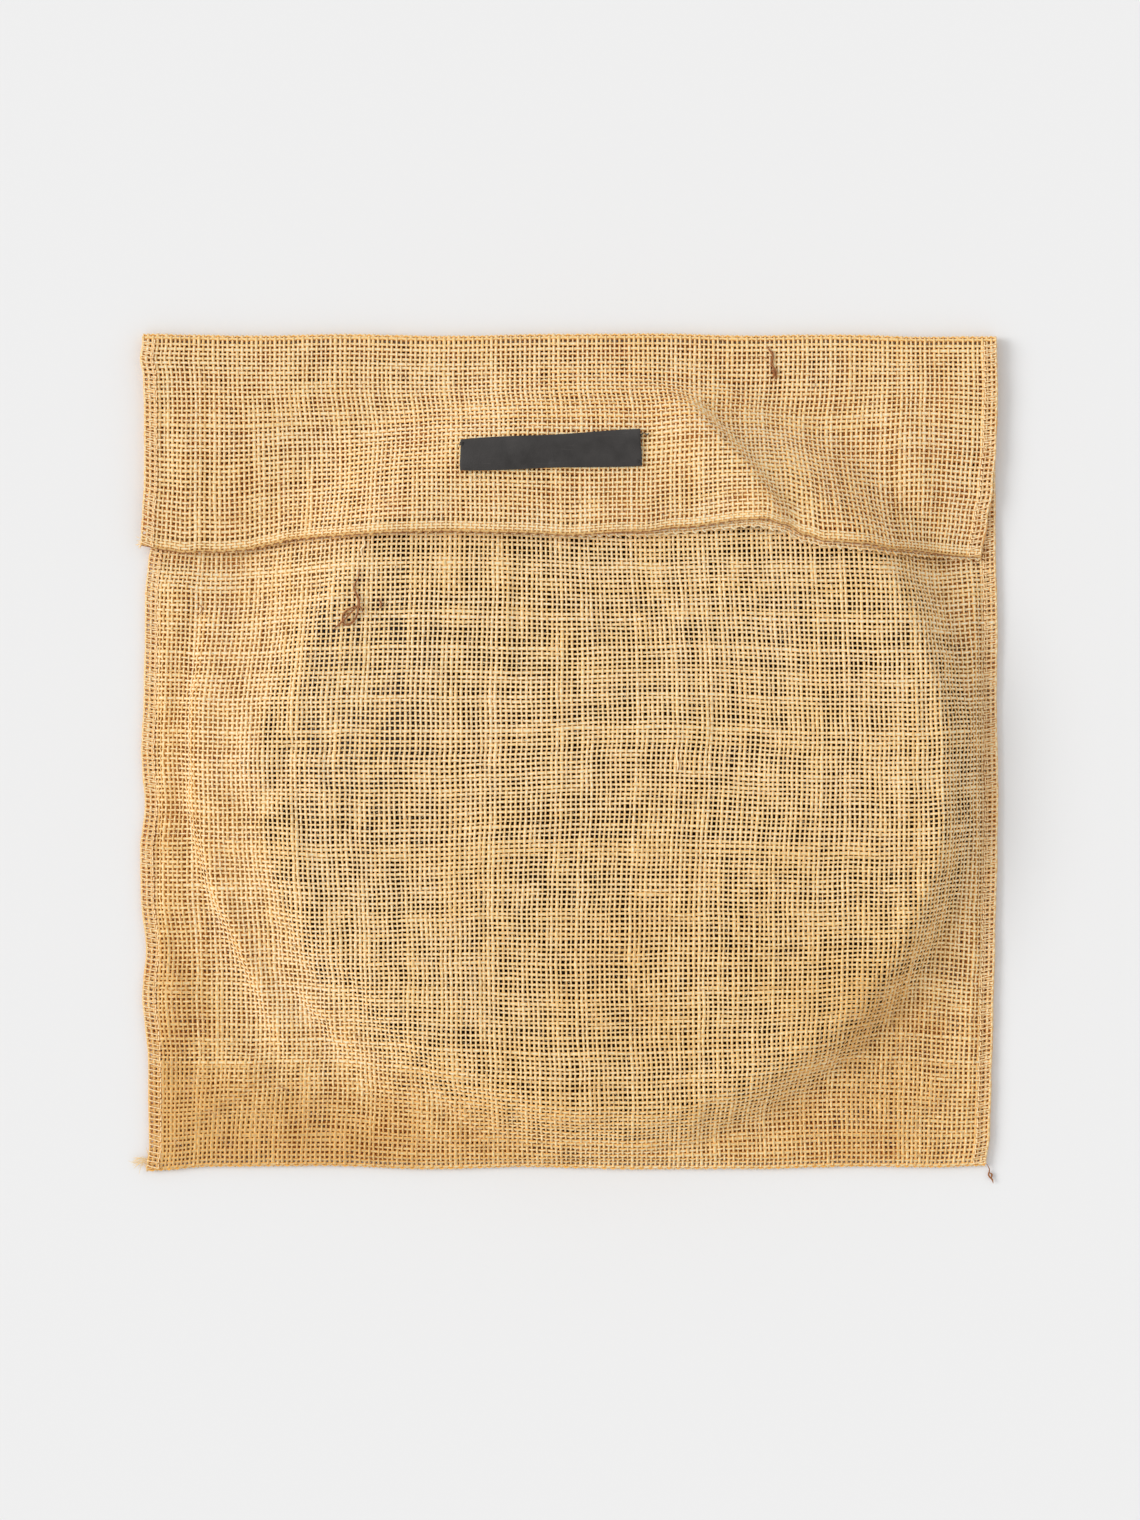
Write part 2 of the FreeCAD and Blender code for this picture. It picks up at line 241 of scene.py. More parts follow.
def settleFront():
    across = round(2 * seamX / settle["spacing"])
    down = round((topY - bottomY) / settle["spacing"])
    xs, ys = np.linspace(-seamX, seamX, across + 1), np.linspace(bottomY, topY, down + 1)
    x, y = np.meshgrid(xs, ys, indexing="ij")
    start = frontBase(x, y)
    bedX, bedY = x * settle["bedShare"], y * settle["bedShare"]
    bed = gridMesh("settlingBed", bedX, bedY, dishTop(bedX, bedY))
    bed.modifiers.new("bed", "COLLISION")
    bed.collision.thickness_outer = settle["aboveDish"]
    cloth = gridMesh("settlingCloth", x, y, start)
    held = (np.abs(x) > seamX - 1 * mm) | (y < bottomY + 1 * mm) | (y > mouthY + settle["heldUnderFlap"])
    pins = cloth.vertex_groups.new(name="held")
    pins.add(np.flatnonzero(held.ravel()).tolist(), 1.0, "REPLACE")
    modifier = cloth.modifiers.new("settle", "CLOTH")
    modifier.settings.vertex_group_mass = "held"
    for name, value in settle["cloth"].items():
        setattr(modifier.settings, name, value)
    modifier.settings.shrink_min = settle["slack"]
    modifier.collision_settings.distance_min = settle["clearance"]
    for moment in range(1, settle["frames"] + 1):
        bpy.context.scene.frame_set(moment)
    graph = bpy.context.evaluated_depsgraph_get()
    result = np.array([v.co[:] for v in cloth.evaluated_get(graph).data.vertices]).reshape(*x.shape, 3)
    bpy.context.scene.frame_set(1)
    for obj in (cloth, bed):
        mesh = obj.data
        bpy.data.objects.remove(obj)
        bpy.data.meshes.remove(mesh)
    moved = np.clip(result[..., 2] - start, -settle["mostMove"], settle["mostMove"])
    settled.update(xs=xs, ys=ys, moved=moved)
    print("front panel settled, moved by up to", round(float(np.abs(moved).max()) * 1000, 2), "mm")


def settledBy(x, y):
    if not settled:
        return 0.0 * (x + y)
    xs, ys, moved = settled["xs"], settled["ys"], settled["moved"]
    u = np.clip((x - xs[0]) / (xs[1] - xs[0]), 0, len(xs) - 1.001)
    v = np.clip((y - ys[0]) / (ys[1] - ys[0]), 0, len(ys) - 1.001)
    i, j = u.astype(int), v.astype(int)
    fu, fv = smooth(u - i), smooth(v - j)
    low = moved[i, j] * (1 - fu) + moved[i + 1, j] * fu
    return low * (1 - fv) + (moved[i, j + 1] * (1 - fu) + moved[i + 1, j + 1] * fu) * fv


def flatEdge(x, y):
    # 1 inside the sack, 0 on its seams and folds, where the cloth is sewn or folded flat
    side = smooth((seamX - np.abs(x)) / (22 * mm))
    return side * smooth((topY - 6 * mm - y) / (30 * mm)) * smooth((y - bottomY) / (22 * mm))


def bodyRelief(x, y):
    waves = np.maximum(ripple(x, y, slowWaves) + 0.5 * mm, 0)
    free = smooth((mouthY - 10 * mm - y) / (16 * mm)) * smooth((seamX - 1 * mm - np.abs(x)) / (9 * mm))
    free = free * smooth((y - bottomY) / (10 * mm))
    return (ridgeHeight(x, y, bodyRidges) + waves * flatEdge(x, y)) * free


def flapRelief(x, y):
    waves = np.maximum(ripple(x + 0.03, y - 0.05, slowWaves) + 0.4 * mm, 0)
    free = smooth((seamX - 2 * mm - np.abs(x)) / (16 * mm)) * smooth((topY - 8 * mm - y) / (24 * mm))
    return (ridgeHeight(x, y, flapRidges) + waves) * free


def mouthLens(x, y):
    across = smooth(4.0 * (1.0 - np.abs(x) / seamX))
    return 1.5 * mm * across * smooth((topY - y) / (0.5 * (topY - mouthY)))


def backLevel(x, y):
    return weave["halfCloth"] + 0.0 * x


def frontBase(x, y):
    return weave["halfCloth"] + weave["layerStep"] + tent(x, y)


def frontLevel(x, y):
    level = frontBase(x, y) + bodyRelief(x, y)
    free = smooth((mouthY - 8 * mm - y) / (14 * mm))
    return np.maximum(level + settledBy(x, y) * free, dishTop(x, y) + settle["aboveDish"])


def innerLevel(x, y):
    return weave["halfCloth"] + 2 * weave["layerStep"] + tent(x, y) + flapRelief(x, y)


def outerLevel(x, y):
    return innerLevel(x, y) + weave["layerStep"] + mouthLens(x, y)


wanderX = [(420, 260, 0.3, 1.0), (-300, 190, 2.2, 0.7), (160, 110, 4.0, 0.22), (44, -37, 1.1, 0.07)]
wanderY = [(330, 420, 1.3, 1.3), (210, -260, 0.2, 0.9), (-120, 150, 2.7, 0.25), (37, 52, 5.0, 0.08)]


def placed(x, y, left, right):
    # the cloth's place in plan: its edges wander, and its yarns drift a little everywhere
    reach, ends = edges["sideReach"] * mm, edges["endReach"] * mm
    inside = smooth((cutX - np.abs(x)) / (30 * mm))
    movedX = x - eased(edges[left], y) * smooth((-x - cutX + reach) / reach)
    movedX = movedX + eased(edges[right], y) * smooth((x - cutX + reach) / reach)
    calm = smooth((topY - y) / (40 * mm))
    movedX = movedX + ripple(x, y, wanderX) * inside * calm
    movedY = y + eased(edges["top"], x) * smooth((y - topY + ends) / ends)
    movedY = movedY - eased(edges["bottom"], x) * smooth((bottomY + ends - y) / ends)
    drift = calm * smooth((y - bottomY) / (40 * mm)) * smooth((cutX - np.abs(x) + 6 * mm) / (50 * mm))
    return movedX, movedY + ripple(x, y, wanderY) * drift


def bodyPlace(x, y):
    return placed(x, y, "bodyLeft", "bodyRight")


def flapPlace(x, y, mouth):
    movedX, movedY = placed(x, y, "flapLeft", "flapRight")
    share = np.clip((topY - y) / (topY - mouthY), 0, 1)
    return movedX, movedY + eased(edges[mouth], x) * share ** 1.7


def yarnPlaces(low, high, pitch, seed):
    # uneven places for neighbouring yarns from low to high, both included
    count = max(2, round((high - low) / pitch))
    source = np.random.default_rng(seed)
    steps = 1 + weave["spacingJitter"] * (source.random(count) - 0.5)
    steps = steps * (1 + 0.04 * np.sin(np.arange(count) * 0.41) * np.sin(np.arange(count) * 0.13 + seed))
    return low + (high - low) * np.concatenate([[0], np.cumsum(steps)]) / steps.sum()


def gridNormals(points):
    normals = np.cross(np.gradient(points, axis=1), np.gradient(points, axis=0))
    return normals / np.linalg.norm(normals, axis=-1, keepdims=True)


settleFront()
print("sack drawn out, dish radius", round(float(dishRadius), 4))


def fill(tree, node, values):
    # a socket is linked, anything else is set
    for name, value in values.items():
        if isinstance(value, bpy.types.NodeSocket):
            tree.links.new(value, node.inputs[name])
        else:
            node.inputs[name].default_value = value


def addNode(tree, kind, values=None, **fields):
    node = tree.nodes.new(kind)
    for name, value in fields.items():
        setattr(node, name, value)
    fill(tree, node, values or {})
    return node


def made(tree, kind, values=None, **fields):
    return addNode(tree, kind, values, **fields).outputs[0]


def sums(tree, operation, *values):
    return made(tree, "ShaderNodeMath", dict(enumerate(values)), operation=operation)


def attribute(tree, name, kind="FLOAT"):
    return made(tree, "GeometryNodeInputNamedAttribute", {"Name": name}, data_type=kind)


def newTree(name, sockets):
    tree = bpy.data.node_groups.new(name, "GeometryNodeTree")
    tree.interface.new_socket("Geometry", in_out="INPUT", socket_type="NodeSocketGeometry")
    for label, kind, value in sockets:
        socket = tree.interface.new_socket(label, in_out="INPUT", socket_type="NodeSocket" + kind)
        if value is not None:
            socket.default_value = value
    tree.interface.new_socket("Geometry", in_out="OUTPUT", socket_type="NodeSocketGeometry")
    return tree, tree.nodes.new("NodeGroupInput").outputs, tree.nodes.new("NodeGroupOutput").inputs


def yarnTree(name, rounded):
    # lines of points become yarns with a flattened section; crossings ride over and under
    tree, given, result = newTree(name, [
        ("Width", "Float", 0.0014), ("Thickness", "Float", 0.0008), ("Crimp", "Float", 0.0),
        ("Sides", "Int", 6), ("Unevenness", "Float", 0.2), ("Lump Size", "Float", 0.009),
        ("Seed", "Float", 0.0), ("Material", "Material", None)])
    lines = made(tree, "GeometryNodeMeshToCurve", {"Mesh": given["Geometry"]})
    normal = attribute(tree, "clothNormal", "FLOAT_VECTOR")
    lift = sums(tree, "MULTIPLY", attribute(tree, "crossing"), given["Crimp"])
    lift = made(tree, "ShaderNodeVectorMath", {0: normal, "Scale": lift}, operation="SCALE")
    lines = made(tree, "GeometryNodeSetPosition", {"Geometry": lines, "Offset": lift})
    lines = made(tree, "GeometryNodeSetCurveNormal", {"Curve": lines, "Normal": normal}, mode="FREE")
    if rounded:
        lines = made(tree, "GeometryNodeCurveSplineType", {"Curve": lines}, spline_type="CATMULL_ROM")
        lines = made(tree, "GeometryNodeSetSplineResolution", {"Geometry": lines, "Resolution": 3})
    lumps = made(tree, "ShaderNodeTexNoise", {
        "Vector": made(tree, "GeometryNodeInputPosition"), "W": given["Seed"],
        "Scale": sums(tree, "DIVIDE", 1.0, given["Lump Size"]), "Detail": 1.0}, noise_dimensions="4D")
    swell = sums(tree, "MULTIPLY", sums(tree, "SUBTRACT", lumps, 0.5), given["Unevenness"])
    swell = sums(tree, "MULTIPLY_ADD", swell, 4.0, 1.0)
    size = sums(tree, "MULTIPLY", swell, attribute(tree, "yarnSize"))
    ring = made(tree, "GeometryNodeCurvePrimitiveCircle", {"Resolution": given["Sides"], "Radius": 0.5})
    shape = made(tree, "ShaderNodeCombineXYZ", {"X": given["Thickness"], "Y": given["Width"], "Z": 1.0})
    # where each point of the section is, for the painted shade on the flanks and upper sides
    spot = addNode(tree, "ShaderNodeSeparateXYZ", {0: made(tree, "GeometryNodeInputPosition")}).outputs
    shadedFlank = sums(tree, "MULTIPLY", sums(tree, "ABSOLUTE", spot[1]), 2.0)
    upper = sums(tree, "MULTIPLY", sums(tree, "MAXIMUM", spot[0], 0.0), 2.0)
    for label, value in (("yarnFlank", shadedFlank), ("yarnUpper", upper)):
        ring = made(tree, "GeometryNodeStoreNamedAttribute", {
            "Geometry": ring, "Name": label, "Value": value}, data_type="FLOAT", domain="POINT")
    section = made(tree, "GeometryNodeTransform", {"Geometry": ring, "Scale": shape})
    tubes = made(tree, "GeometryNodeCurveToMesh", {
        "Curve": lines, "Profile Curve": section, "Scale": size, "Fill Caps": True})
    tubes = made(tree, "GeometryNodeSetShadeSmooth", {"Geometry": tubes})
    tubes = made(tree, "GeometryNodeRealizeInstances", {"Geometry": tubes})
    tubes = made(tree, "GeometryNodeSetMaterial", {"Geometry": tubes, "Material": given["Material"]})
    tree.links.new(tubes, result[0])
    return tree


weaveTree = yarnTree("weaveYarns", False)
threadTree = yarnTree("threadRuns", True)


def grown(obj, tree, settings):
    # runs the tree once and keeps its result as the object's own mesh
    modifier = obj.modifiers.new("make", "NODES")
    modifier.node_group = tree
    for item in tree.interface.items_tree:
        if item.item_type == "SOCKET" and item.in_out == "INPUT" and item.name in settings:
            modifier[item.identifier] = settings[item.name]
    graph = bpy.context.evaluated_depsgraph_get()
    mesh = bpy.data.meshes.new_from_object(obj.evaluated_get(graph), preserve_all_data_layers=True,
                                           depsgraph=graph)
    obj.modifiers.remove(modifier)
    spare = obj.data
    obj.data = mesh
    bpy.data.meshes.remove(spare)
    for name in ("clothNormal", "crossing", "yarnSize"):
        if name in mesh.attributes:
            mesh.attributes.remove(mesh.attributes[name])
    return obj


def lineObject(name, points, edgePairs, normals, crossing, size, tone):
    mesh = bpy.data.meshes.new(name)
    mesh.vertices.add(len(points))
    mesh.vertices.foreach_set("co", np.ascontiguousarray(points, np.float32).ravel())
    mesh.edges.add(len(edgePairs))
    mesh.edges.foreach_set("vertices", np.ascontiguousarray(edgePairs, np.int32).ravel())
    vectors = mesh.attributes.new("clothNormal", "FLOAT_VECTOR", "POINT")
    vectors.data.foreach_set("vector", np.ascontiguousarray(normals, np.float32).ravel())
    # painted shade: a yarn gets a darker colour where it dips under a crossing
    shade = np.maximum(-np.asarray(crossing), 0)
    for label, values in (("crossing", crossing), ("yarnSize", size), ("yarnTone", tone), ("yarnDip", shade)):
        layer = mesh.attributes.new(label, "FLOAT", "POINT")
        layer.data.foreach_set("value", np.ascontiguousarray(values, np.float32).ravel())
    mesh.update()
    return linked(name, mesh)


def chainPairs(rows, count):
    # edges that join each row's points in order
    start = (np.arange(rows)[:, None] * count + np.arange(count - 1)[None, :]).ravel()
    return np.stack([start, start + 1], axis=-1)


def yarns(name, points, normals, crossing, sizes, tones, material, look, loops=0):
    # one set of parallel yarns: points[yarn, place along it]
    count, places = points.shape[:2]
    flat = [points.reshape(-1, 3), normals.reshape(-1, 3), crossing.ravel(), sizes.ravel(), tones.ravel()]
    pairs = chainPairs(count, places)
    if loops:  # neighbouring yarns turn back into each other at the first place
        first = np.arange(0, count - 1, 2)
        a, b = points[first, 0], points[first + 1, 0]
        turn = (a + b) / 2 + loops * np.array([0, -1, 0]) * np.linalg.norm(b - a, axis=-1, keepdims=True)
        middle = np.arange(len(first)) + len(flat[0])
        pairs = np.concatenate([pairs, np.stack([first * places, middle], -1),
                                np.stack([middle, (first + 1) * places], -1)])
        extra = [turn, normals[first, 0], 0 * crossing[first, 0], 0.85 * sizes[first, 0], tones[first, 0]]
        flat = [np.concatenate([old, new]) for old, new in zip(flat, extra)]
    obj = lineObject(name, flat[0], pairs, *flat[1:])
    return grown(obj, weaveTree, {
        "Width": look["width"], "Thickness": weave["yarnThickness"], "Crimp": weave["crimp"],
        "Sides": look["sides"], "Unevenness": weave["unevenness"], "Seed": float(dice.random() * 90),
        "Material": material})


def thread(name, runs, width, material, sides=5, unevenness=0.15, tone=0.0, taper=False):
    # one piece of thread or many: each run is a list of points in metres
    points, pairs, sizes, tones = [], [], [], []
    for run in runs:
        start = len(points)
        points += [tuple(p) for p in run]
        pairs += [(start + i, start + i + 1) for i in range(len(run) - 1)]
        ends = np.linspace(-1, 1, len(run))
        sizes += list(1 - 0.75 * ends ** 4) if taper else [1.0] * len(run)
        tones += [tone + 0.25 * (dice.random() - 0.5)] * len(run)
    up = np.tile([0.0, 0.0, 1.0], (len(points), 1))
    obj = lineObject(name, points, pairs, up, np.zeros(len(points)), sizes, tones)
    return grown(obj, threadTree, {
        "Width": width, "Thickness": width, "Crimp": 0.0, "Sides": sides,
        "Unevenness": unevenness, "Lump Size": 0.003, "Seed": 3.0, "Material": material})


# jute: its colours, with painted shade for each yarn's flanks and where it dips under a crossing, and how
# fine its streaks, flecks and blotches are
jute = dict(pale=(0.85, 0.84, 0.66), middle=(0.84, 0.73, 0.44), brown=(0.47, 0.28, 0.10),
            dipShadeColour=(0.88, 0.52, 0.13), dipShade=0.75, shadedFlank=(0.94, 0.47, 0.08), flankFrom=0.25, flankShade=0.9,
            fleck=(0.16, 0.08, 0.035), streakSize=0.0006, streakLength=0.012, blotchSize=0.035,
            fleckScale=330.0, roughness=0.82, sheen=0.25, sheenRoughness=0.6, specular=0.25, bump=0.35,
            bumpDepth=0.0003)


def mixed(tree, factor, first, second, blend="MIX"):
    first, second = [(*colour, 1.0) if isinstance(colour, tuple) else colour for colour in (first, second)]
    return addNode(tree, "ShaderNodeMix", {0: factor, 6: first, 7: second}, data_type="RGBA",
                   blend_type=blend).outputs[2]


def ranged(tree, value, low, high, toLow=0.0, toHigh=1.0):
    return made(tree, "ShaderNodeMapRange", {"Value": value, "From Min": low, "From Max": high,
                                             "To Min": toLow, "To Max": toHigh})


def noise(tree, vector, scale, detail=2.0, roughness=0.5):
    return made(tree, "ShaderNodeTexNoise", {"Vector": vector, "Scale": scale, "Detail": detail,
                                             "Roughness": roughness})


def mapped(tree, vector, **values):
    return made(tree, "ShaderNodeMapping", {"Vector": vector, **values})


def marked(tree, name):
    return addNode(tree, "ShaderNodeAttribute", attribute_name=name).outputs["Fac"]


def bumped(tree, height, strength, distance):
    return made(tree, "ShaderNodeBump", {"Strength": strength, "Distance": distance, "Height": height})


def newMaterial(name):
    material = bpy.data.materials.new(name)
    material.use_nodes = True
    tree = material.node_tree
    return material, tree, tree.nodes["Principled BSDF"]


def objectPlace(tree):
    return addNode(tree, "ShaderNodeTexCoord").outputs["Object"]


def juteMaterial(name, direction, tint=(1.0, 1.0, 1.0), darker=0.0, upperShadeTint=None):
    material, tree, shader = newMaterial(name)
    place = objectPlace(tree)
    fine, coarse = 1 / jute["streakSize"], 1 / jute["streakLength"]
    stretch = (coarse, fine, fine) if direction == "across" else (fine, coarse, fine)
    streaks = noise(tree, mapped(tree, place, Scale=stretch), 1.0, 3.0, 0.6)
    blotches = noise(tree, place, 1 / jute["blotchSize"], 2.0)
    flecks = noise(tree, place, jute["fleckScale"], 3.0, 0.7)
    depth = sums(tree, "MULTIPLY_ADD", marked(tree, "yarnTone"), 0.5, ranged(tree, streaks, 0.3, 0.7))
    depth = sums(tree, "MULTIPLY_ADD", ranged(tree, blotches, 0.3, 0.7), 0.35, depth)
    base = mixed(tree, ranged(tree, depth, 0.05, 1.05), jute["pale"], jute["middle"])
    base = mixed(tree, ranged(tree, depth, 0.95, 1.75, 0.0, 0.75 + darker), base, jute["brown"])
    # painted shade: darker orange where a yarn dips under a crossing
    base = mixed(tree, sums(tree, "MULTIPLY", marked(tree, "yarnDip"), jute["dipShade"]), base, jute["dipShadeColour"])
    # painted shade: each yarn's flanks turn orange-brown
    side = ranged(tree, marked(tree, "yarnFlank"), jute["flankFrom"], 0.87, 0.0, jute["flankShade"])
    base = mixed(tree, side, base, jute["shadedFlank"])
    base = mixed(tree, ranged(tree, flecks, 0.66, 0.76, 0.0, 0.7), base, jute["fleck"])
    # painted shade: the upper side of each yarn turns toward the shade tint
    if upperShadeTint:
        tint = mixed(tree, ranged(tree, marked(tree, "yarnUpper"), 0.0, 0.5), tint, upperShadeTint)
    base = mixed(tree, 1.0, base, tint, "MULTIPLY")
    fill(tree, shader, {"Base Color": base, "Roughness": jute["roughness"], "Sheen Weight": jute["sheen"],
                        "Sheen Roughness": jute["sheenRoughness"], "Specular IOR Level": jute["specular"],
                        "Normal": bumped(tree, streaks, jute["bump"], jute["bumpDepth"])})
    return material


acrossJute = juteMaterial("juteAcross", "across")
alongJute = juteMaterial("juteAlong", "along")
# painted shade on the layers inside the sack: a little darker all over and orange-brown on their upper side,
# which shows through the gaps between the yarns above
innerShadeTint, innerUpperShadeTint = (1.0, 0.96, 0.90), (1.0, 0.62, 0.25)
innerAcrossJute = juteMaterial("innerJuteAcross", "across", innerShadeTint, 0.0, innerUpperShadeTint)
innerAlongJute = juteMaterial("innerJuteAlong", "along", innerShadeTint, 0.0, innerUpperShadeTint)
seamJute = juteMaterial("seamThread", "along", (1.12, 1.03, 0.88))
brownJute = juteMaterial("brownYarn", "along", (0.34, 0.15, 0.05), 0.1)
paleJute = juteMaterial("paleYarn", "along", (1.12, 1.12, 1.12))
print("materials mixed")

# the yarns' places: along yarns share their places in every layer, so they run on round the folds
columnPlaces = yarnPlaces(-cutX, cutX, weave["pitch"], 5)
frontRows = yarnPlaces(bottomY, topY - weave["foldStart"], weave["pitch"], 7)
backRows = yarnPlaces(bottomY, topY - weave["foldStart"], weave["pitch"], 8)
bandTop = mouthY + weave["mouthBand"]  # close-woven rows along the mouth
flapRows = np.concatenate([yarnPlaces(mouthY, bandTop, weave["mouthPitch"], 9),
                           yarnPlaces(bandTop, topY - weave["foldStart"], weave["pitch"], 10)[1:]])
alongSizes = 1 + weave["sizeSpread"] * dice.standard_normal(len(columnPlaces))
alongTones = weave["toneSpread"] * dice.standard_normal(len(columnPlaces))


def slubs(shape, share, seed):
    # now and then a yarn is thick for a few crossings
    source = np.random.default_rng(seed)
    extra = np.zeros(shape)
    for _ in range(int(shape[0] * shape[1] * share)):
        line, middle = source.integers(shape[0]), source.integers(shape[1])
        reach, height = source.uniform(2, 9), source.uniform(0.15, 0.55)
        extra[line] += height * np.exp(-(((np.arange(shape[1]) - middle) / reach) ** 2))
    return extra


# patches of painted shade, browner towards the bottom, the corners, the left margin and the lower dish slope,
# and a few of painted light, paler: middle and reach across and along, in mm, and how much browner they are
shadeAndLightPatches = [(-196, -40, 14, 130, 0.9), (-130, -188, 140, 34, 2.3), (150, -185, 70, 45, 1.4),
           (148, -126, 34, 34, 1.1), (198, -40, 14, 160, -0.3), (-190, -150, 36, 60, 1.2),
           (30, 120, 70, 30, -0.2), (-60, 20, 60, 90, -0.25), (60, -110, 120, 70, 0.7)]


def paintedShadeAndLightTone(points):
    total = np.zeros(points.shape[:2])
    for x, y, across, along, amount in shadeAndLightPatches:
        away = np.hypot((points[..., 0] - x * mm) / (across * mm), (points[..., 1] - y * mm) / (along * mm))
        total += amount * np.exp(-(away ** 2))
    return total


def wander(source, lines, places):
    # each yarn drifts a little to one side and the other along its length
    knots = source.standard_normal((lines, places // weave["wanderPitch"] + 3)) * weave["wander"]
    at = np.arange(places) / weave["wanderPitch"]
    left = at.astype(int)
    share = smooth(at - left)
    return knots[:, left] * (1 - share) + knots[:, left + 1] * share


def fromEnds(count):
    return np.minimum(np.arange(count), np.arange(count)[::-1])


class Layer:
    # one layer of cloth as a grid of crossings, row by column
    def __init__(self, points, parity, seed):
        rows, columns = points.shape[:2]
        source = np.random.default_rng(seed)
        fade = smooth(fromEnds(rows) / 5.0)[:, None] * smooth(fromEnds(columns) / 4.0)[None, :]
        points = points.copy()
        points[..., 0] += wander(source, columns, rows).T * fade
        points[..., 1] += wander(source, rows, columns) * fade
        self.points = points
        self.normals = gridNormals(points)
        self.over = np.where(np.add.outer(np.arange(rows) + parity, np.arange(columns)) % 2 == 0, 1.0, -1.0)
        acrossSize = 1 + weave["sizeSpread"] * source.standard_normal((rows, 1))
        self.acrossSize = np.clip(acrossSize + slubs((rows, columns), 0.0008, seed + 1), 0.7, 1.6)
        alongSize = alongSizes[:, None] + slubs((columns, rows), 0.0006, seed + 2)
        self.alongSize = np.clip(alongSize, 0.7, 1.6)
        # painted shade and painted light: the patches make the cloth browner or paler where they lie
        paintedShadeAndLight = paintedShadeAndLightTone(points)
        self.acrossTone = weave["toneSpread"] * source.standard_normal((rows, 1)) + paintedShadeAndLight
        self.alongTone = alongTones[:, None] + paintedShadeAndLight.T

    def closeBand(self, rowCount, tone, size):
        # the close-woven rows along the mouth, which are darker or paler and a little thicker
        self.acrossTone[:rowCount] += tone
        self.alongTone[:, :rowCount] += tone
        self.acrossSize[:rowCount] *= size

    def across(self, name, rows, look):
        pick = slice(*rows)
        return yarns(name, self.points[pick], self.normals[pick], self.over[pick], self.acrossSize[pick],
                     self.acrossTone[pick], look["across"], look)

    def along(self, name, columns, rows, look, loops=0):
        pick = slice(*columns), slice(*rows)
        turned = [np.swapaxes(grid, 0, 1)[pick] for grid in (self.points, self.normals, -self.over)]
        return yarns(name, *turned, self.alongSize[pick], self.alongTone[pick], look["along"], look, loops)


def evenOut(marks, others, place, level, turned):
    # yarns keep their distance along the cloth, so they lie closer together where it is steep
    fine = np.linspace(marks[0], marks[-1], 4 * len(marks))
    beside, along = np.meshgrid(others, fine, indexing="ij")
    x, y = place(beside, along) if turned else place(along, beside)
    rise = np.diff(level(x, y), axis=1)
    run = np.hypot(np.diff(fine)[None, :], weave["slopeShare"] * rise)
    length = np.concatenate([np.zeros((len(others), 1)), np.cumsum(run, axis=1)], axis=1)
    length = marks[0] + length * (marks[-1] - marks[0]) / length[:, -1:]
    return np.stack([np.interp(marks, line, fine) for line in length])


def sheetPoints(xs, ys, place, level):
    planX = evenOut(xs, ys, place, level, False)
    planY = evenOut(ys, xs, place, level, True).T
    x, y = place(planX, planY)
    return stacked(x, y, level(x, y))


def turnPoints(xs, radius, centreY, centreZ, angles, place):
    # cloth that turns round a line along X: angle 0 points down, 180 degrees up
    x, y = place(xs, np.full(len(xs), centreY))
    outward = np.sign(centreY) * radius
    return np.stack([stacked(x, y + outward * math.sin(angle), centreZ - radius * math.cos(angle))
                     for angle in angles])


hiddenFrom = int(np.searchsorted(frontRows, mouthY + weave["underFlap"]))  # rows the flap always covers
lastColumn = len(columnPlaces)
leftHalf, rightHalf, allColumns = (0, lastColumn // 2), (lastColumn // 2, lastColumn), (0, lastColumn)
frontLayer = Layer(sheetPoints(columnPlaces, frontRows, bodyPlace, frontLevel), 0, 20)
backPoints = sheetPoints(columnPlaces, backRows, bodyPlace, backLevel)
turnRadius = weave["layerStep"] / 2
bottomTurn = turnPoints(columnPlaces, turnRadius, bottomY, weave["halfCloth"] + turnRadius,
                        [math.pi, math.pi / 2], bodyPlace)
backLayer = Layer(np.concatenate([bottomTurn, backPoints]), 1, 21)

# a yarn's sides, width and materials where it shows, where the flap covers it, and inside the sack
shown = dict(sides=weave["visibleSides"], width=weave["yarnWidth"], across=acrossJute, along=alongJute)
covered = dict(shown, sides=weave["hiddenSides"])
inside = dict(sides=weave["hiddenSides"], width=weave["innerWidth"], across=innerAcrossJute,
              along=innerAlongJute)
frontAcrossLow = frontLayer.across("front_across_low", (0, hiddenFrom // 2), shown)
frontAcrossHigh = frontLayer.across("front_across_high", (hiddenFrom // 2, hiddenFrom), shown)
frontAcrossHidden = frontLayer.across("front_across_hidden", (hiddenFrom, len(frontRows)),
                                      dict(covered, width=weave["innerWidth"]))
frontAlongLeft = frontLayer.along("front_along_left", leftHalf, (0, hiddenFrom + 1), shown)
frontAlongRight = frontLayer.along("front_along_right", rightHalf, (0, hiddenFrom + 1), shown)
frontAlongHidden = frontLayer.along("front_along_hidden", allColumns, (hiddenFrom, len(frontRows)), covered)
print("front panel woven", hiddenFrom, "rows of", len(frontRows))

lastRow = len(backRows) + 2  # the bottom fold's two rows come first
backMiddle = lastRow // 2
bottomAcross = backLayer.across("bottom_fold_across", (1, 3), shown)
bottomAlong = backLayer.along("bottom_fold_along", allColumns, (0, 4), shown)
backAcrossLow = backLayer.across("back_across_low", (3, backMiddle), inside)
backAcrossHigh = backLayer.across("back_across_high", (backMiddle, lastRow), inside)
backAlongLeft = backLayer.along("back_along_left", leftHalf, (3, lastRow), inside)
backAlongRight = backLayer.along("back_along_right", rightHalf, (3, lastRow), inside)
print("back panel woven")


def outerPlace(x, y):
    return flapPlace(x, y, "outerMouth")


def innerPlace(x, y):
    return flapPlace(x, y, "innerMouth")


